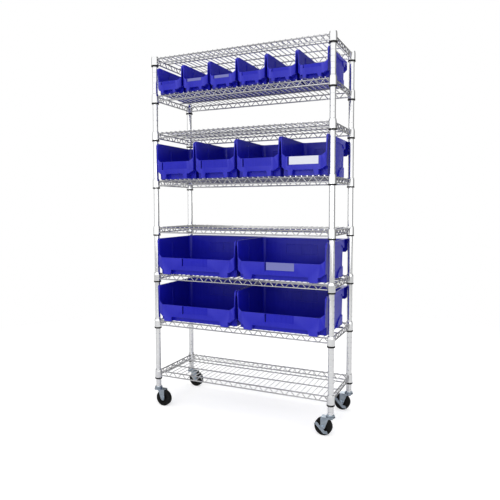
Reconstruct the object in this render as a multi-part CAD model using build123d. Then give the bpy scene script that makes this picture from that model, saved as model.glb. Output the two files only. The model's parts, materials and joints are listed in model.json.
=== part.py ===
from build123d import *
import os
from collections import namedtuple
from math import radians, tan

# Mobile wire shelving cart with hopper-front storage bins.
#
# Millimetres, +Z up, +X to the right, -Y towards the front, where the bins open.
# The origin is on the floor, midway between the four posts.
# Shelves are numbered from the top, bins from the left.

INCH = 25.4

# ---- frame ------------------------------------------------------------------------------
POST_SPACING_X = 878.0
POST_SPACING_Y = 319.0
POST_RADIUS = 12.7
POST_WALL = 1.3
POST_BOTTOM = 93.0
POST_TOP = 1699.5
CAP_HEIGHT = 4.0
CAP_PLUG = 12.0
CAP_FLAT_RADIUS = 8.5
GROOVE_PITCH = INCH
GROOVE_DEPTH = 0.6
GROOVE_HALF_WIDTH = 1.2
GROOVE_FLAT = 0.6

# Height of each shelf's sleeve lip: the lowest one, then steps in whole inches above it.
LOWEST_LEVEL = 135.0
LEVEL_STEPS = (60, 53, 46, 37, 28, 19, 10, 0)
LEVELS = [LOWEST_LEVEL + step * INCH for step in LEVEL_STEPS]

# Heights inside one shelf, measured from its level.
LIP_HALF_HEIGHT = 3.2
LIP_RADIUS = 17.6
SLEEVE_TOP = 38.0
SLEEVE_RADIUS_LOW = 15.2
SLEEVE_RADIUS_HIGH = 14.2
SLEEVE_SPLIT = 3.0
BEAD_HEIGHT = 20.0
BEAD_DEPTH = 0.35
COLLAR_BOTTOM = 3.3
COLLAR_TOP = 43.5
COLLAR_RADIUS = 16.8
COLLAR_TOP_RADIUS = 15.4
COLLAR_TAPER = 10.0
RIM_WIRE_RADIUS = 3.1
RIM_WIRE_LOW = 12.5
RIM_WIRE_HIGH = 34.0
RIM_WIRE_END = 15.7
TRUSS_WIRE_RADIUS = 2.0
TRUSS_PITCH = 2 * INCH
TRUSS_FOOT = 3.0
DECK_WIRE_RADIUS = 2.0
DECK_WIRE_HEIGHT = 39.0
DECK_PITCH = INCH
DECK_OVERHANG = 2.6
SUPPORT_RADIUS = 2.8
SUPPORT_HEIGHT = 34.4
SUPPORT_Y = 53.2
DECK_TOP = DECK_WIRE_HEIGHT + DECK_WIRE_RADIUS
FIT = 0.05

# ---- casters ----------------------------------------------------------------------------
WHEEL_RADIUS = 38.5
WHEEL_WIDTH = 24.0
TYRE_SHOULDER = 3.5
HUB_RADIUS = 27.0
HUB_BOSS_RADIUS = 9.5
HUB_BOSS_WIDTH = 25.6
HUB_WEB_WIDTH = 9.0
HUB_RIM_INNER = 21.5
HUB_RIM_WIDTH = 21.0
TRAIL = 31.0
AXLE_RADIUS = 4.0
FORK_INNER = 13.2
FORK_SHEET = 2.5
FORK_EYE_RADIUS = 10.0
FORK_LEG_WIDTH = 34.0
FORK_LEG_TOP = 10.0
FORK_FLANGE = 7.0
CROWN_BOTTOM = 79.5
CROWN_SHEET = 2.8
CROWN_TOP = 84.4
CROWN_RADIUS = 20.5
CROWN_BACK = -40.0
CROWN_FRONT = 14.0
RACE_RADIUS = 18.5
RACE_TOP = 87.9
FLANGE_BOTTOM = 88.0
FLANGE_RADIUS = 17.5
KINGPIN_RADIUS = 5.0
KINGPIN_HEAD_RADIUS = 8.5
KINGPIN_BOTTOM = 74.0
PLUG_LENGTH = 45.0
BOLT_HEAD_HEIGHT = 4.5
BOLT_HEAD_ACROSS = 13.0
LEVER_SHEET = 2.0
LEVER_WIDTH = 13.0
LEVER_PEDAL = 9.0
LEVER_BOSS_RADIUS = 9.0

# ---- bins -------------------------------------------------------------------------------
# Lengths of one kind of bin:
# lip, skirt: heights of the front wall's top edge and of its bottom edge, above the recess.
# corner_x, corner_y: size of the cut-off front corners. foot: width of a front foot.
# rear_radius: radius of the upright rear corners. hang: how far the rear flange stands
# behind the rear wall. drop: height of the rear flange. rim: height of the band round the top.
# cheek: how far the side rims run on behind the rear wall.
# label, slot, panel: width and height of the label recess, of the slot beside it and of the
# framed panel inside the rear wall. rib_y: place of the divider ribs on the side walls.
Bin = namedtuple(
    "Bin",
    "width depth height lip skirt corner_x corner_y foot rear_radius hang drop rim cheek"
    " label slot panel rib_y",
)
LARGE = Bin(
    width=419.0, depth=375.0, height=171.0, lip=81.0, skirt=23.0, corner_x=27.0, corner_y=9.5,
    foot=43.0, rear_radius=20.0, hang=69.5, drop=66.0, rim=23.0, cheek=0.0,
    label=(138.0, 36.0), slot=(6.0, 36.0), panel=(160.0, 50.0), rib_y=-58.0,
)
MEDIUM = LARGE._replace(width=209.6, foot=23.0, panel=(90.0, 50.0))
SMALL = Bin(
    width=139.7, depth=315.0, height=127.0, lip=54.0, skirt=13.0, corner_x=20.0, corner_y=15.0,
    foot=17.0, rear_radius=14.0, hang=35.0, drop=48.0, rim=16.0, cheek=35.0,
    label=(78.0, 14.5), slot=(4.0, 12.0), panel=(60.0, 36.0), rib_y=-50.0,
)
BIN_WALL = 2.8
BIN_FLOOR = 3.0
BIN_DRAFT = 1.2
BIN_LEDGE = 3.0
BIN_CORNER = 4.0
LIP_DEPTH = 3.5
LIP_RISE = 15.0
TOP_CORNER_RUN = 12.0
TOP_CORNER_DROP = 9.0
FRONT_EDGE_BAND = 12.0
FOOT_INSET = 10.0
FOOT_RECESS = 24.0
FOOT_SLANT = 6.0
CORNER_CUT_DEPTH = 35.0
CORNER_CUT_RISE = 23.0
FLANGE_CORNER = 12.0
GUSSET_SHEET = 2.5
GUSSET_HEIGHT = 40.0
CHEEK_TAIL_LENGTH = 45.0
CHEEK_TAIL_DROP = 16.0
SIDE_BULGE_LENGTH = 90.0
SIDE_BULGE_HEIGHT = 46.0
SIDE_BULGE_INSET = 1.5
PANEL_RIB = 1.0
PANEL_FRAME = 2.0
RIB_HEIGHT = 1.6
RIB_WIDTH = 2.6
RIB_GAP = 3.4
LABEL_RECESS = 1.1
LABEL_SHEET = 0.5
LABEL_INSET = 2.0
BIN_CLEARANCE = 0.6
BIN_GAP_SMALL = 1.8
BIN_GAP_MEDIUM = 3.0
BIN_GAP_LARGE = 7.0
SMALL_BIN_Y = -22.5

POST_X = POST_SPACING_X / 2
POST_Y = POST_SPACING_Y / 2
CORNERS = {
    "front_left": (-1, -1),
    "front_right": (1, -1),
    "back_left": (-1, 1),
    "back_right": (1, 1),
}


def turned(points):
    """Solid of revolution about Z from (radius, height) points."""
    outline = Polyline(*[(r, 0, z) for r, z in points], close=True)
    return revolve(make_face(outline), Axis.Z)


def turned_about_y(points):
    """Solid of revolution about Y from (radius, y) points."""
    outline = Polyline(*[(r, y, 0) for r, y in points], close=True)
    return revolve(make_face(outline), Axis.Y)


def plate_xz(sketch, y_near, thickness):
    """Sheet piece drawn in (x, z), its nearer face at y_near, growing towards +Y."""
    return Pos(0, y_near, 0) * extrude(Plane.XZ * sketch, amount=-thickness)


def wire(start, end, radius):
    """Straight round wire between two points."""
    line = Edge.make_line(start, end)
    return Solid.make_cylinder(radius, line.length, Plane(start, z_dir=line % 0))


def group(solids):
    """Separate solids that share one node."""
    return Compound(children=list(solids))


# ---- frame pieces -------------------------------------------------------------------------
def post():
    """Steel tube with a shallow groove every inch."""
    bore = POST_RADIUS - POST_WALL
    points = [(bore, POST_TOP), (bore, POST_BOTTOM), (POST_RADIUS, POST_BOTTOM)]
    groove = LOWEST_LEVEL + BEAD_HEIGHT
    while groove - GROOVE_PITCH > POST_BOTTOM + GROOVE_HALF_WIDTH:
        groove -= GROOVE_PITCH
    while groove < POST_TOP - 2 * GROOVE_HALF_WIDTH:
        floor_radius = POST_RADIUS - GROOVE_DEPTH
        points += [
            (POST_RADIUS, groove - GROOVE_HALF_WIDTH),
            (floor_radius, groove - GROOVE_FLAT),
            (floor_radius, groove + GROOVE_FLAT),
            (POST_RADIUS, groove + GROOVE_HALF_WIDTH),
        ]
        groove += GROOVE_PITCH
    points.append((POST_RADIUS, POST_TOP))
    return turned(points)


def post_cap():
    """Plug that closes the top of a post, with a small flat top."""
    bore = POST_RADIUS - POST_WALL - FIT
    return turned([
        (0, POST_TOP - CAP_PLUG),
        (bore, POST_TOP - CAP_PLUG),
        (bore, POST_TOP),
        (POST_RADIUS, POST_TOP),
        (POST_RADIUS, POST_TOP + 1.5),
        (POST_RADIUS - 1.5, POST_TOP + 3.3),
        (CAP_FLAT_RADIUS, POST_TOP + CAP_HEIGHT),
        (0, POST_TOP + CAP_HEIGHT),
    ])


def sleeve_half(level, side):
    """Half of the tapered split sleeve that grips a post groove and carries a shelf collar."""
    inner = POST_RADIUS + FIT
    points = [
        (inner, level - LIP_HALF_HEIGHT),
        (LIP_RADIUS, level - LIP_HALF_HEIGHT),
        (LIP_RADIUS, level + LIP_HALF_HEIGHT),
        (SLEEVE_RADIUS_LOW, level + LIP_HALF_HEIGHT),
        (SLEEVE_RADIUS_HIGH, level + SLEEVE_TOP),
        (inner, level + SLEEVE_TOP),
        (inner, level + BEAD_HEIGHT + 0.9),
        (inner - BEAD_DEPTH, level + BEAD_HEIGHT + 0.4),
        (inner - BEAD_DEPTH, level + BEAD_HEIGHT - 0.4),
        (inner, level + BEAD_HEIGHT - 0.9),
    ]
    outline = Polyline(*[(r, 0, z) for r, z in points], close=True)
    half = revolve(make_face(outline), Axis.Z, 180 - SLEEVE_SPLIT)
    return Rot(0, 0, SLEEVE_SPLIT / 2 + 90 * (1 - side)) * half


def collar_bore(height):
    """Inner radius of a collar, a sliding fit on the tapered sleeve."""
    slope = (SLEEVE_RADIUS_LOW - SLEEVE_RADIUS_HIGH) / (SLEEVE_TOP - LIP_HALF_HEIGHT)
    return SLEEVE_RADIUS_LOW + FIT - slope * (height - LIP_HALF_HEIGHT)


def collar():
    """Tapered socket welded into a shelf corner."""
    return turned([
        (collar_bore(COLLAR_BOTTOM), COLLAR_BOTTOM),
        (COLLAR_RADIUS, COLLAR_BOTTOM),
        (COLLAR_RADIUS, COLLAR_TOP - COLLAR_TAPER),
        (COLLAR_TOP_RADIUS, COLLAR_TOP),
        (collar_bore(COLLAR_TOP), COLLAR_TOP),
    ])


def collar_plug():
    """Solid the shape of a collar's bore, for trimming what is welded to the collar."""
    return turned([
        (0, COLLAR_BOTTOM),
        (collar_bore(COLLAR_BOTTOM), COLLAR_BOTTOM),
        (collar_bore(COLLAR_TOP), COLLAR_TOP),
        (0, COLLAR_TOP),
    ])


def truss(half_length, place):
    """Two rim wires and the zigzag between them, along one side; place maps (along, z)."""
    reach = half_length - RIM_WIRE_END
    wires = [
        wire(place(-reach, z), place(reach, z), RIM_WIRE_RADIUS)
        for z in (RIM_WIRE_LOW, RIM_WIRE_HIGH)
    ]
    step = TRUSS_PITCH / 2
    count = 2 * int(reach / step)
    heights = (RIM_WIRE_HIGH, RIM_WIRE_LOW)
    for k in range(count):
        along = (k - count / 2) * step
        start = place(along + TRUSS_FOOT, heights[k % 2])
        end = place(along + step - TRUSS_FOOT, heights[(k + 1) % 2])
        wires.append(wire(start, end, TRUSS_WIRE_RADIUS))
    last = count / 2 * step
    fall = (RIM_WIRE_HIGH - RIM_WIRE_LOW) * (reach - last) / step
    for side in (-1, 1):
        start = place(side * (last + TRUSS_FOOT), RIM_WIRE_HIGH)
        end = place(side * reach, RIM_WIRE_HIGH - fall)
        plug = Pos(place(side * half_length, 0)) * collar_plug()
        wires.append(wire(start, end, TRUSS_WIRE_RADIUS) - plug)
    return wires


def shelf():
    """One welded shelf at level 0: corner collars, edge trusses, deck wires and two supports."""
    pieces = [
        Pos(sx * POST_X, sy * POST_Y, 0) * collar() for sx, sy in CORNERS.values()
    ]
    for side in (-1, 1):
        pieces += truss(POST_X, lambda along, z: Vector(along, side * POST_Y, z))
        pieces += truss(POST_Y, lambda along, z: Vector(side * POST_X, along, z))
        support_start = Vector(-POST_X, side * SUPPORT_Y, SUPPORT_HEIGHT)
        support_end = Vector(POST_X, side * SUPPORT_Y, SUPPORT_HEIGHT)
        pieces.append(wire(support_start, support_end, SUPPORT_RADIUS))
    deck_reach = POST_Y + DECK_OVERHANG
    half_count = int((POST_X - COLLAR_RADIUS) / DECK_PITCH)
    for k in range(-half_count, half_count + 1):
        x = k * DECK_PITCH
        start = Vector(x, -deck_reach, DECK_WIRE_HEIGHT)
        end = Vector(x, deck_reach, DECK_WIRE_HEIGHT)
        pieces.append(wire(start, end, DECK_WIRE_RADIUS))
    return pieces[0].fuse(*pieces[1:])


# ---- caster pieces, drawn about the swivel axis with the wheel trailing towards -X -----------
def wheel_centre(trail_side):
    return (trail_side * TRAIL, 0, WHEEL_RADIUS)


def caster_stem():
    """Plug for the post, flange, kingpin and riveted head."""
    plug_radius = POST_RADIUS - POST_WALL - FIT
    return turned([
        (0, KINGPIN_BOTTOM),
        (KINGPIN_HEAD_RADIUS, KINGPIN_BOTTOM),
        (KINGPIN_HEAD_RADIUS, CROWN_BOTTOM - 0.1),
        (KINGPIN_RADIUS, CROWN_BOTTOM - 0.1),
        (KINGPIN_RADIUS, FLANGE_BOTTOM),
        (FLANGE_RADIUS, FLANGE_BOTTOM),
        (FLANGE_RADIUS, POST_BOTTOM - 1),
        (FLANGE_RADIUS - 1, POST_BOTTOM),
        (plug_radius, POST_BOTTOM),
        (plug_radius, POST_BOTTOM + PLUG_LENGTH),
        (0, POST_BOTTOM + PLUG_LENGTH),
    ])


def swivel_race():
    """Ball race between the flange and the fork crown."""
    return turned([
        (KINGPIN_RADIUS + FIT, CROWN_TOP + 0.1),
        (RACE_RADIUS - 3, CROWN_TOP + 0.1),
        (RACE_RADIUS, CROWN_TOP + 1.6),
        (RACE_RADIUS, RACE_TOP),
        (KINGPIN_RADIUS + FIT, RACE_TOP),
    ])


def fork():
    """Pressed fork: crown, raised race seat and two legs that taper to the axle."""
    seat = turned([
        (KINGPIN_RADIUS + 0.2, CROWN_BOTTOM),
        (CROWN_RADIUS - 2, CROWN_BOTTOM),
        (CROWN_RADIUS, CROWN_BOTTOM + 2),
        (CROWN_RADIUS, CROWN_TOP - 1.5),
        (CROWN_RADIUS - 1.5, CROWN_TOP),
        (KINGPIN_RADIUS + 0.2, CROWN_TOP),
    ])
    half_width = FORK_INNER + FORK_SHEET
    length = CROWN_FRONT - CROWN_BACK
    middle = (CROWN_FRONT + CROWN_BACK) / 2
    crown = Pos(middle, 0, CROWN_BOTTOM + CROWN_SHEET / 2) * Box(length, 2 * half_width, CROWN_SHEET)
    crown -= Pos(0, 0, CROWN_BOTTOM) * Cylinder(KINGPIN_RADIUS + 0.2, 4 * CROWN_SHEET)
    top = CROWN_BOTTOM + CROWN_SHEET
    eye = Pos(-TRAIL, WHEEL_RADIUS) * Circle(FORK_EYE_RADIUS)
    shoulder_x = CROWN_BACK + FORK_LEG_WIDTH / 2
    shoulder = Pos(shoulder_x, top - FORK_LEG_TOP / 2) * RectangleRounded(FORK_LEG_WIDTH, FORK_LEG_TOP, 3)
    leg_outline = make_hull(eye.edges() + shoulder.edges())
    leg_outline += Pos(middle, top - FORK_FLANGE / 2) * RectangleRounded(length, FORK_FLANGE, 3)
    leg_outline -= Pos(-TRAIL, WHEEL_RADIUS) * Circle(AXLE_RADIUS + 0.1)
    body = crown + seat
    for y_near in (-half_width, FORK_INNER):
        body += plate_xz(leg_outline, y_near, FORK_SHEET)
    return body


def tyre():
    """Rubber tread with rounded shoulders, about the Y axis at the origin."""
    half = WHEEL_WIDTH / 2
    outline = Polyline(
        (HUB_RADIUS, -half + 1), (WHEEL_RADIUS, -half), (WHEEL_RADIUS, half),
        (HUB_RADIUS, half - 1), close=True,
    )
    face = make_face(outline)
    shoulders = face.vertices().filter_by_position(Axis.X, WHEEL_RADIUS - 0.1, WHEEL_RADIUS + 0.1)
    return revolve(fillet(shoulders, TYRE_SHOULDER), Axis.Y)


def hub():
    """Wheel centre: bored boss, thin web and rim, about the Y axis at the origin."""
    half_boss = HUB_BOSS_WIDTH / 2
    half_web = HUB_WEB_WIDTH / 2
    half_rim = HUB_RIM_WIDTH / 2
    bore = AXLE_RADIUS + FIT
    upper = [
        (bore, half_boss),
        (HUB_BOSS_RADIUS, half_boss),
        (HUB_BOSS_RADIUS + 1, half_web),
        (HUB_RIM_INNER - 1, half_web),
        (HUB_RIM_INNER, half_rim),
        (HUB_RADIUS, half_rim),
    ]
    lower = [(radius, -y) for radius, y in reversed(upper)]
    return turned_about_y(upper + lower)


def bolt_seat_y(braked):
    """Y of the face that the bolt head rests on: the fork leg, or the lever where there is one."""
    return -(FORK_INNER + FORK_SHEET + (LEVER_SHEET + 2 * FIT if braked else FIT))


def axle_bolt(braked):
    """Axle bolt with its hexagon head at the front and its end in the nut at the back."""
    head_face = bolt_seat_y(braked)
    end = FORK_INNER + FORK_SHEET + 6.5
    shank = turned_about_y([(0, head_face), (AXLE_RADIUS, head_face), (AXLE_RADIUS, end - 0.8),
                            (AXLE_RADIUS - 0.8, end), (0, end)])
    head = plate_xz(
        RegularPolygon(BOLT_HEAD_ACROSS / 2, 6, major_radius=False),
        head_face - BOLT_HEAD_HEIGHT, BOLT_HEAD_HEIGHT,
    )
    return shank + head


def axle_nut():
    """Hexagon nut on the back fork leg."""
    outline = RegularPolygon(BOLT_HEAD_ACROSS / 2, 6, major_radius=False)
    outline -= Circle(AXLE_RADIUS + FIT)
    return plate_xz(outline, FORK_INNER + FORK_SHEET + FIT, 5.5)


def brake_lever():
    """Stamped side brake lever about the axle, with a pedal tab turned out at each end."""
    ends = ((-32, 18), (24, -21))
    strap = trace(Polyline(ends[0], (7, -21), ends[1]), LEVER_WIDTH)
    outline = strap + Circle(LEVER_BOSS_RADIUS) - Circle(AXLE_RADIUS + 0.1)
    near = -(FORK_INNER + FORK_SHEET + FIT + LEVER_SHEET)
    lever = plate_xz(outline, near, LEVER_SHEET)
    pedal = Box(LEVER_SHEET, LEVER_PEDAL, LEVER_WIDTH)
    pedal_y = near - LEVER_PEDAL / 2 + 0.5
    lever += Pos(ends[0][0] + 0.8, pedal_y, ends[0][1] - 0.8) * Rot(0, 45, 0) * pedal
    lever += Pos(ends[1][0] - LEVER_SHEET / 2, pedal_y, ends[1][1]) * pedal
    return lever


# ---- bins, drawn with the base at z = 0 and centred in x and y -------------------------------
def draft_at(height):
    """How far a wall leans over a height."""
    return height * tan(radians(BIN_DRAFT))


def rear_wall_y(kind):
    """Outside of the rear wall at the top."""
    return kind.depth / 2 - kind.hang


def bin_outline(kind, inset):
    """Plan of the bin body at the top: a rectangle with its two front corners cut off."""
    half = kind.width / 2 - BIN_LEDGE
    front = -kind.depth / 2 - draft_at(kind.height - kind.lip)
    back = rear_wall_y(kind)
    corner_x = kind.corner_x - BIN_LEDGE
    corner_y = kind.corner_y
    plan = make_face(Polyline(
        (-half, back), (-half, front + corner_y), (-half + corner_x, front),
        (half - corner_x, front), (half, front + corner_y), (half, back), close=True,
    ))
    if inset:
        plan = offset(plan, -inset, kind=Kind.INTERSECTION)
    rear = plan.vertices().filter_by(lambda vertex: vertex.Y > 0)
    plan = fillet(rear, kind.rear_radius - inset)
    front_corners = plan.vertices().filter_by(lambda vertex: vertex.Y < 0)
    return fillet(front_corners, BIN_CORNER - inset * 0.6)


def bin_block(kind, inset, bottom):
    """Body of the bin as a solid block that narrows towards its base."""
    top = Pos(0, 0, kind.height) * bin_outline(kind, inset)
    return extrude(top, amount=kind.height - bottom, dir=(0, 0, -1), taper=BIN_DRAFT)


def bin_cavity(kind):
    """Inside of the bin, with upright ribs on the side walls left standing for dividers."""
    full = bin_block(kind, BIN_WALL, BIN_FLOOR)
    inner = bin_block(kind, BIN_WALL + RIB_HEIGHT, BIN_FLOOR)
    rib_top = kind.height - kind.rim
    slabs = []
    for side in (-1, 1):
        rib_y = kind.rib_y + side * (RIB_WIDTH + RIB_GAP) / 2
        slabs.append(Pos(0, rib_y, rib_top / 2) * Box(kind.width, RIB_WIDTH, rib_top))
    return inner + (full - slabs)


def across(kind, points):
    """Solid over the whole width from a profile of (y, z) points."""
    profile = make_face(Polyline(*points, close=True))
    return extrude(Plane.YZ * profile, amount=kind.width / 2, both=True)


def along(kind, points, start, length):
    """Solid from a profile of (x, z) points, from start behind the front."""
    profile = make_face(Polyline(*points, close=True))
    return Pos(0, start - kind.depth / 2, 0) * extrude(Plane.XZ * profile, amount=-length)


def foot_recess(kind, grow):
    """Space under the front wall, between two front feet that narrow downwards."""
    bottom = kind.width / 2 - kind.corner_x - FOOT_INSET - kind.foot + FOOT_SLANT + grow
    top = bottom - FOOT_SLANT
    height = kind.skirt + grow
    points = ((-bottom, -1), (bottom, -1), (top, height), (-top, height))
    return along(kind, points, -8, FOOT_RECESS + 8 + grow)


def corner_cuts(kind, grow):
    """Space outside the two front feet, with a roof that rises towards the sides."""
    low = kind.width / 2 - kind.corner_x
    foot = low - FOOT_INSET
    edge = kind.width / 2 + 5
    cuts = []
    for side in (-1, 1):
        points = (
            (side * (foot - grow), -1),
            (side * (foot - grow), kind.skirt + grow),
            (side * low, kind.skirt + grow),
            (side * edge, kind.skirt + CORNER_CUT_RISE + grow),
            (side * edge, -1),
        )
        cuts.append(along(kind, points, -8, CORNER_CUT_DEPTH + 8 + grow))
    return cuts


def hopper_cut(kind):
    """Everything above the front lip and in front of the side walls' front edges."""
    front = -kind.depth / 2
    edge = front + kind.corner_y + 1
    above = kind.height + 5
    return across(kind, (
        (front - 10, kind.lip),
        (front + LIP_DEPTH, kind.lip),
        (edge, kind.lip + LIP_RISE),
        (edge, kind.height - TOP_CORNER_DROP),
        (edge + TOP_CORNER_RUN, kind.height),
        (edge + TOP_CORNER_RUN, above),
        (front - 10, above),
    ))


def rim_band(kind):
    """Thickened band round the top of the side walls, turned down at the rear wall."""
    front = -kind.depth / 2 + LIP_DEPTH
    wall = rear_wall_y(kind)
    back = wall + kind.cheek
    top = kind.height
    low = top - kind.rim
    end = low - CHEEK_TAIL_DROP
    band = across(kind, ((front, top), (back, top), (back, low), (front, low)))
    tail = across(kind, (
        (wall, low), (wall, end), (wall - CHEEK_TAIL_LENGTH / 2, end), (wall - CHEEK_TAIL_LENGTH, low),
    ))
    return band + tail


def front_edge_bands(kind):
    """Outward flare of the side walls' front edges, widest at the top."""
    low = kind.lip + LIP_RISE
    low_half = kind.width / 2 - BIN_LEDGE - draft_at(kind.height - low)
    half = kind.width / 2
    points = ((-half, kind.height), (half, kind.height), (low_half, low), (-low_half, low))
    return along(kind, points, LIP_DEPTH, kind.corner_y - LIP_DEPTH + FRONT_EDGE_BAND)


def side_bulges(kind):
    """Low bulge outside each side wall, rising in a curve towards the rear corner."""
    scale = kind.height / LARGE.height
    length = SIDE_BULGE_LENGTH * scale
    height = SIDE_BULGE_HEIGHT * scale
    back = rear_wall_y(kind) - kind.rear_radius
    front = back - length
    curve = EllipticalCenterArc((back, 0), length, height, start_angle=90, arc_size=90)
    outline = curve + Polyline((front, 0), (back, 0), (back, height))
    width = kind.width / 2 - SIDE_BULGE_INSET
    return extrude(Plane.YZ * make_face(outline), amount=width, both=True)


def rear_flange(kind):
    """Ledge behind the rear wall and the flange that hangs from it, with two gussets."""
    wall = rear_wall_y(kind)
    edge = kind.depth / 2
    top = kind.height
    low = top - kind.drop
    inner = edge - BIN_WALL
    under = top - BIN_WALL
    flange = across(kind, (
        (wall - kind.rear_radius, top), (edge, top), (edge, low), (inner, low), (inner, under),
        (wall - kind.rear_radius, under),
    ))
    for side in (-1, 1):
        tip = side * kind.width / 2
        cut = make_face(Polyline(
            (tip, low - 1), (tip, low + FLANGE_CORNER), (tip - side * FLANGE_CORNER, low),
            (tip - side * FLANGE_CORNER, low - 1), close=True,
        ))
        flange -= Pos(0, inner - 1, 0) * extrude(Plane.XZ * cut, amount=-BIN_WALL - 2)
        gusset = make_face(Polyline(
            (wall - 5, under), (inner, under), (inner, under - 8), (wall - 5, under - GUSSET_HEIGHT),
            close=True,
        ))
        gusset_x = side * kind.width / 4
        flange += Pos(gusset_x, 0, 0) * extrude(Plane.YZ * gusset, amount=GUSSET_SHEET)
    return flange


def rear_panel(kind):
    """Raised frame with a middle bar on the inside of the rear wall."""
    width, height = kind.panel
    middle = kind.height - kind.rim - height / 2 - 8
    frame = Box(width, kind.hang, height)
    for side in (-1, 1):
        window_x = side * (width - PANEL_FRAME) / 4
        window = Box(width / 2 - 1.5 * PANEL_FRAME, kind.hang, height - 2 * PANEL_FRAME)
        frame -= Pos(window_x, 0, 0) * window
    rear = rear_wall_y(kind) - BIN_WALL
    skin = bin_block(kind, BIN_WALL, BIN_FLOOR) - bin_block(kind, BIN_WALL + PANEL_RIB, BIN_FLOOR)
    return (Pos(0, rear, middle) * frame) & skin


def label_recess(kind):
    """Shallow recess for a card on the front wall, and the slot at its left end."""
    width, height = kind.label
    slot_width, slot_height = kind.slot
    front = -kind.depth / 2
    recess = Box(width, 2 * LABEL_RECESS, height + 1)
    slot = Box(slot_width, 4 * BIN_WALL, slot_height)
    slot_x = -width / 2 + slot_width / 2
    slot_z = kind.lip - height / 2 - 2
    return [Pos(0, front, kind.lip - height / 2 + 0.5) * recess, Pos(slot_x, front, slot_z) * slot]


def bin_shell(kind):
    """One moulded bin."""
    outside = rim_band(kind) + front_edge_bands(kind) + side_bulges(kind) + rear_flange(kind)
    body = bin_block(kind, 0, 0) + (outside - bin_block(kind, 1.0, -1))
    body -= [foot_recess(kind, 0), *corner_cuts(kind, 0)]
    body -= bin_cavity(kind) - [foot_recess(kind, BIN_WALL), *corner_cuts(kind, BIN_WALL)]
    body += rear_panel(kind)
    return body - [hopper_cut(kind), *label_recess(kind)]


def label(kind):
    """Card in the recess on the front wall, clear of the slot."""
    width, height = kind.label
    card_width = width - kind.slot[0] - LABEL_INSET
    card = Box(card_width, LABEL_SHEET, height - LABEL_INSET)
    y = -kind.depth / 2 + LABEL_RECESS - LABEL_SHEET / 2 - FIT
    return Pos(kind.slot[0] / 2, y, kind.lip - height / 2) * card


# ---- assembly -------------------------------------------------------------------------------
def bin_places():
    """Yields node name, kind and place of every bin."""
    rows = (
        (2, SMALL, 6, BIN_GAP_SMALL, SMALL_BIN_Y),
        (4, MEDIUM, 4, BIN_GAP_MEDIUM, 0.0),
        (6, LARGE, 2, BIN_GAP_LARGE, 0.0),
        (7, LARGE, 2, BIN_GAP_LARGE, 0.0),
    )
    sizes = {SMALL: "small", MEDIUM: "medium", LARGE: "large"}
    for shelf_number, kind, count, gap, y in rows:
        z = LEVELS[shelf_number - 1] + DECK_TOP + BIN_CLEARANCE
        for k in range(count):
            x = (k - (count - 1) / 2) * (kind.width + gap)
            name = f"bin_{sizes[kind]}_{shelf_number}_{k + 1}"
            yield name, kind, Pos(x, y, z)


LABELLED = ("bin_small_2_2", "bin_small_2_3", "bin_medium_4_4", "bin_large_6_2")
BRAKED = ("front_right", "back_right")


def build():
    """All sub-parts by node name."""
    nodes = {}
    post_at = {name: Pos(sx * POST_X, sy * POST_Y, 0) for name, (sx, sy) in CORNERS.items()}

    one_post = post()
    for name, place in post_at.items():
        nodes[f"post_{name}"] = place * one_post
        halves = [sleeve_half(level, side) for level in LEVELS for side in (-1, 1)]
        nodes[f"sleeves_{name}"] = group(place * half for half in halves)
    nodes["post_caps"] = group(place * post_cap() for place in post_at.values())

    one_shelf = shelf()
    for number, level in enumerate(LEVELS, start=1):
        nodes[f"shelf_{number}"] = Pos(0, 0, level) * one_shelf

    nodes["caster_stems"] = group(place * caster_stem() for place in post_at.values())
    nodes["swivel_races"] = group(place * swivel_race() for place in post_at.values())
    for name, (sx, sy) in CORNERS.items():
        # Each wheel trails inwards, so a caster on the left is turned half round.
        turn = Rot(0, 0, 0 if sx > 0 else 180)
        at_post = post_at[name]
        at_wheel = at_post * Pos(*wheel_centre(-sx))
        braked = name in BRAKED
        nodes[f"fork_{name}"] = at_post * turn * fork()
        nodes[f"wheel_hub_{name}"] = at_wheel * hub()
        nodes[f"tyre_{name}"] = at_wheel * tyre()
        nodes[f"axle_bolt_{name}"] = at_wheel * axle_bolt(braked)
        nodes[f"axle_nut_{name}"] = at_wheel * axle_nut()
        if braked:
            nodes[f"brake_lever_{name}"] = at_wheel * brake_lever()

    shells = {kind: bin_shell(kind) for kind in (SMALL, MEDIUM, LARGE)}
    for name, kind, place in bin_places():
        nodes[name] = place * shells[kind]
        if name in LABELLED:
            nodes[name.replace("bin", "label")] = place * label(kind)
    return nodes


os.makedirs("parts", exist_ok=True)
for node, shape in build().items():
    # Curves in parameter space are left out: readers rebuild them, and the files are a third of the size.
    export_step(shape, f"parts/{node}.step", write_pcurves=False)
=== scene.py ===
import json
from math import radians

import bpy
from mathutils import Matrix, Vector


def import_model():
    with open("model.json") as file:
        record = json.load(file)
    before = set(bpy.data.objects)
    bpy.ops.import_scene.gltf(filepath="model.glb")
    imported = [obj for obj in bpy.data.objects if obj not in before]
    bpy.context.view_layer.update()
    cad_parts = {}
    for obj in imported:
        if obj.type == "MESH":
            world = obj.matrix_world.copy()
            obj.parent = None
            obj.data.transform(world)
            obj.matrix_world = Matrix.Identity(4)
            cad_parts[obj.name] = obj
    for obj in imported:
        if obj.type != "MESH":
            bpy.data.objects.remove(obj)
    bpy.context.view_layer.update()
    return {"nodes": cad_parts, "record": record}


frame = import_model()

# Sizes are in metres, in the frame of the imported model: +Z up, -Y towards the front.
MM = 0.001

# The floor shows white to the camera out to FLOOR_CLEAR and fades away by FLOOR_GONE. For light and
# reflections it goes on to FLOOR_REACH.
FLOOR_CLEAR = 1.2
FLOOR_GONE = 2.6
FLOOR_REACH = 9.0
FLOOR_GLOW = 0.55

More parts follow.
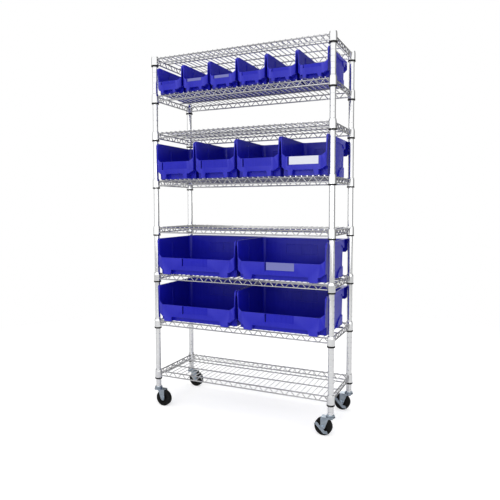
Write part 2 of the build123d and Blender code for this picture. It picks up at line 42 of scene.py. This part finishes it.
# The world is brightest in the direction WORLD_FRONT and dimmest behind the cart. It turns from dim to
# bright between these two cosines of the angle from WORLD_FRONT.
WORLD_FRONT = (0.10, -0.99, 0.02)
WORLD_DIM_AT = -0.30
WORLD_BRIGHT_AT = 0.20
WORLD_DIM = 0.22
WORLD_BRIGHT = 1.05


# ---- shader building blocks -------------------------------------------------------------------
class Shader:
    """A node material with a principled shader, and short calls that add nodes to it."""

    def __init__(self, name):
        self.material = bpy.data.materials.new(name)
        self.material.use_nodes = True
        self.tree = self.material.node_tree
        self.shader = self.tree.nodes["Principled BSDF"]
        self.place = self.add("ShaderNodeTexCoord").outputs["Object"]

    def add(self, kind, **settings):
        node = self.tree.nodes.new(kind)
        for name, value in settings.items():
            setattr(node, name, value)
        return node

    def feed(self, socket, value):
        """Connects an output to a socket, or sets the socket to a number or colour."""
        if isinstance(value, bpy.types.NodeSocket):
            self.tree.links.new(value, socket)
        else:
            socket.default_value = value

    def set(self, **inputs):
        for name, value in inputs.items():
            self.feed(self.shader.inputs[name.replace("_", " ")], value)

    def noise(self, scale, detail=4.0, roughness=0.55, stretch=(1, 1, 1)):
        """Noise over the object, scale in waves per metre."""
        mapping = self.add("ShaderNodeMapping")
        self.feed(mapping.inputs["Vector"], self.place)
        mapping.inputs["Scale"].default_value = stretch
        noise = self.add("ShaderNodeTexNoise")
        self.feed(noise.inputs["Vector"], mapping.outputs["Vector"])
        noise.inputs["Scale"].default_value = scale
        noise.inputs["Detail"].default_value = detail
        noise.inputs["Roughness"].default_value = roughness
        return noise.outputs["Fac"]

    def remap(self, value, low, high, from_low=0.3, from_high=0.7):
        """Value moved from the span of a noise, or another span, to low..high and held there."""
        node = self.add("ShaderNodeMapRange")
        for socket, number in zip(node.inputs, (value, from_low, from_high, low, high)):
            self.feed(socket, number)
        return node.outputs["Result"]

    def mix(self, factor, first, second):
        """Colour between first and second."""
        node = self.add("ShaderNodeMix", data_type="RGBA")
        self.feed(node.inputs["Factor"], factor)
        self.feed(node.inputs[6], first)
        self.feed(node.inputs[7], second)
        return node.outputs[2]

    def maths(self, operation, first, second=0.0):
        node = self.add("ShaderNodeMath", operation=operation)
        self.feed(node.inputs[0], first)
        self.feed(node.inputs[1], second)
        return node.outputs[0]

    def bump(self, height, distance, over=None):
        """Normal for the shader from a height that is distance metres from 0 to 1."""
        node = self.add("ShaderNodeBump")
        node.inputs["Strength"].default_value = 1.0
        node.inputs["Distance"].default_value = distance
        self.feed(node.inputs["Height"], height)
        if over is not None:
            self.feed(node.inputs["Normal"], over)
        return node.outputs["Normal"]

    def rounded(self, radius):
        """Normal that rounds hard edges off."""
        node = self.add("ShaderNodeBevel", samples=4)
        node.inputs["Radius"].default_value = radius
        return node.outputs["Normal"]

    def edges(self, low, high):
        """1 on convex edges and 0 on flats; with low above high, 1 in hollows instead. Masks painted
        shade in creases and painted highlights on edges.
        """
        return self.remap(self.add("ShaderNodeNewGeometry").outputs["Pointiness"], 0.0, 1.0, low, high)


def grey(value):
    return (value, value, value, 1.0)


# ---- materials --------------------------------------------------------------------------------
def chrome():
    """Bright chrome plate over drawn steel: faint clouding, fine draw lines, pinprick dust, and painted
    shade in concave creases.
    """
    s = Shader("chrome")
    cloud = s.noise(9.0)
    fine = s.noise(900.0, detail=2.0)
    draw = s.noise(160.0, detail=3.0, stretch=(1, 1, 0.04))
    # Painted shade: concave creases are mixed towards dark grey.
    crease_shade = s.edges(0.50, 0.44)
    plate = s.mix(s.remap(cloud, 0.0, 1.0), (0.92, 0.925, 0.93, 1), (0.97, 0.975, 0.98, 1))
    s.set(
        Metallic=1.0,
        Base_Color=s.mix(crease_shade, plate, (0.42, 0.42, 0.43, 1)),
        Roughness=s.maths("ADD", s.remap(cloud, 0.05, 0.10), s.remap(fine, 0.0, 0.03)),
        Normal=s.bump(draw, 0.00002, over=s.rounded(0.4 * MM)),
    )
    return s.material


def zinc():
    """Bright zinc plate on pressed steel: bluish, cloudy, a little spangled."""
    s = Shader("zinc")
    cloud = s.noise(60.0, detail=5.0)
    spangle = s.add("ShaderNodeTexVoronoi")
    s.feed(spangle.inputs["Vector"], s.place)
    spangle.inputs["Scale"].default_value = 320.0
    tint = s.mix(s.remap(cloud, 0.0, 1.0), (0.26, 0.32, 0.38, 1), (0.46, 0.53, 0.60, 1))
    spangled = s.maths("MULTIPLY", spangle.outputs["Distance"], 0.35)
    s.set(
        Metallic=1.0,
        Base_Color=s.mix(spangled, tint, (0.62, 0.66, 0.72, 1)),
        Roughness=s.remap(cloud, 0.16, 0.30),
        Normal=s.bump(s.noise(450.0), 0.00004, over=s.rounded(0.5 * MM)),
    )
    return s.material


def moulded(name, dark, light, roughness, grain):
    """Moulded plastic or rubber: mottled colour, moulded grain and rounded edges."""
    s = Shader(name)
    mottle = s.noise(35.0, detail=5.0)
    s.set(
        Base_Color=s.mix(s.remap(mottle, 0.0, 1.0), dark, light),
        Roughness=s.remap(mottle, roughness - 0.06, roughness + 0.06),
        Specular_IOR_Level=0.2,
        Normal=s.bump(s.noise(1500.0, detail=2.0), grain, over=s.rounded(0.5 * MM)),
    )
    return s.material


def blue_plastic():
    """Royal blue polypropylene: semi-gloss, with faint upright flow streaks, scuffs, and convex edges
    painted paler as a painted highlight.
    """
    s = Shader("blue_plastic")
    flow = s.noise(6.0, detail=3.0, stretch=(1, 1, 3))
    streaks = s.noise(170.0, detail=2.0, stretch=(1, 1, 0.05))
    scuffs = s.noise(260.0, detail=5.0)
    base = s.mix(s.remap(flow, 0.0, 1.0), (0.004, 0.005, 0.38, 1), (0.006, 0.007, 0.45, 1))
    streaked = s.mix(s.remap(streaks, 0.0, 0.35), base, (0.020, 0.022, 0.52, 1))
    s.set(
        # Painted highlight: convex edges are mixed towards a paler blue.
        Base_Color=s.mix(s.edges(0.52, 0.62), streaked, (0.05, 0.05, 0.55, 1)),
        Roughness=s.remap(scuffs, 0.27, 0.35),
        Specular_IOR_Level=0.28,
        Normal=s.bump(streaks, 0.00002, over=s.rounded(1.0 * MM)),
    )
    return s.material


def paper(name, dark, light, roughness):
    """Blank card: faint fibres."""
    s = Shader(name)
    fibre = s.noise(700.0, detail=6.0, stretch=(1, 1, 4))
    s.set(
        Base_Color=s.mix(s.remap(fibre, 0.0, 1.0), dark, light),
        Roughness=roughness,
        Normal=s.bump(fibre, 0.00003),
    )
    return s.material


MATERIALS = {
    "chrome": chrome(),
    "zinc": zinc(),
    "black_plastic": moulded("black_plastic", grey(0.002), grey(0.005), 0.50, 0.00005),
    "hub_plastic": moulded("hub_plastic", grey(0.002), grey(0.005), 0.50, 0.00005),
    "tyre": moulded("tyre", grey(0.002), grey(0.005), 0.6, 0.00006),
    "blue_plastic": blue_plastic(),
    "label_card": paper("label_card", (0.70, 0.72, 0.82, 1), (0.78, 0.80, 0.88, 1), 0.5),
    "label_sleeve": paper("label_sleeve", (0.15, 0.16, 0.44, 1), (0.19, 0.20, 0.49, 1), 0.3),
}


def finish_cad_nodes():
    """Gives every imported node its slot's material."""
    slots = {s["node"]: s["material_slot"] for s in frame["record"]["subparts"]}
    for name, node in frame["nodes"].items():
        for k in range(len(node.data.materials)):
            node.data.materials[k] = MATERIALS[slots[name]]
        if not node.data.materials:
            node.data.materials.append(MATERIALS[slots[name]])


# ---- stage ------------------------------------------------------------------------------------
def floor():
    """Plain pale floor, which the camera sees whiter than it is and fading out with distance."""
    s = Shader("floor")
    seen = s.add("ShaderNodeLightPath").outputs["Is Camera Ray"]
    s.set(
        Base_Color=s.mix(s.remap(s.noise(3.0), 0.0, 1.0), grey(0.78), grey(0.81)),
        Roughness=0.8,
        Emission_Color=(1, 1, 1, 1),
        Emission_Strength=s.maths("MULTIPLY", seen, FLOOR_GLOW),
    )
    distance = s.add("ShaderNodeVectorMath", operation="LENGTH")
    s.feed(distance.inputs[0], s.place)
    fade = s.remap(distance.outputs["Value"], 1.0, 0.0, FLOOR_CLEAR, FLOOR_GONE)
    s.set(Alpha=s.maths("MAXIMUM", fade, s.maths("SUBTRACT", 1.0, seen)))
    mesh = bpy.data.meshes.new("floor")
    outline = [(x * FLOOR_REACH, y * FLOOR_REACH, 0) for x, y in ((-1, -1), (1, -1), (1, 1), (-1, 1))]
    mesh.from_pydata(outline, [], [(0, 1, 2, 3)])
    mesh.materials.append(s.material)
    plane = bpy.data.objects.new("floor", mesh)
    bpy.context.scene.collection.objects.link(plane)


def area_light(name, place, target, size, power):
    """Soft square light at place, facing target."""
    light = bpy.data.lights.new(name, "AREA")
    light.shape = "SQUARE"
    light.size = size
    light.energy = power
    lamp = bpy.data.objects.new(name, light)
    lamp.location = place
    direction = Vector(target) - Vector(place)
    lamp.rotation_euler = direction.to_track_quat("-Z", "Y").to_euler()
    bpy.context.scene.collection.objects.link(lamp)


def world():
    """Surroundings that light the cart brightly from the front and dimly from behind.

    The camera sees them as a plain white backdrop.
    """
    surroundings = bpy.data.worlds.new("studio")
    bpy.context.scene.world = surroundings
    surroundings.use_nodes = True
    tree = surroundings.node_tree
    background = tree.nodes["Background"]
    direction = tree.nodes.new("ShaderNodeTexCoord").outputs["Generated"]
    facing = tree.nodes.new("ShaderNodeVectorMath")
    facing.operation = "DOT_PRODUCT"
    facing.inputs[1].default_value = WORLD_FRONT
    tree.links.new(direction, facing.inputs[0])
    shade = tree.nodes.new("ShaderNodeMapRange")
    shade.inputs["From Min"].default_value = WORLD_DIM_AT
    shade.inputs["From Max"].default_value = WORLD_BRIGHT_AT
    shade.inputs["To Min"].default_value = WORLD_DIM
    shade.inputs["To Max"].default_value = WORLD_BRIGHT
    tree.links.new(facing.outputs["Value"], shade.inputs["Value"])
    seen = tree.nodes.new("ShaderNodeLightPath").outputs["Is Camera Ray"]
    strength = tree.nodes.new("ShaderNodeMath")
    strength.operation = "MAXIMUM"
    tree.links.new(shade.outputs["Result"], strength.inputs[0])
    tree.links.new(seen, strength.inputs[1])
    tree.links.new(strength.outputs[0], background.inputs["Strength"])
    background.inputs["Color"].default_value = (1, 1, 1, 1)


def camera():
    """Eye level with the middle of the cart, off its front right corner."""
    lens = bpy.data.cameras.new("camera")
    lens.sensor_width = 36.0
    lens.lens = 38.24
    lens.shift_x = 0.015
    lens.shift_y = -0.025
    eye = bpy.data.objects.new("camera", lens)
    eye.location = (1.046, -2.336, 0.987)
    eye.rotation_euler = (radians(86.6), radians(0.16), radians(25.14))
    bpy.context.scene.collection.objects.link(eye)
    bpy.context.scene.camera = eye


def lights():
    middle = (0, 0, 0.9)
    area_light("key", (-0.3, -3.6, 1.4), middle, 1.4, 12)
    area_light("fill", (2.4, -2.6, 0.9), middle, 1.2, 5)
    area_light("top", (0.2, 0.4, 4.0), middle, 1.2, 30)
    area_light("back", (-0.6, 3.6, 1.8), middle, 1.6, 12)


finish_cad_nodes()
floor()
world()
lights()
camera()
bpy.context.scene.view_settings.view_transform = "Standard"
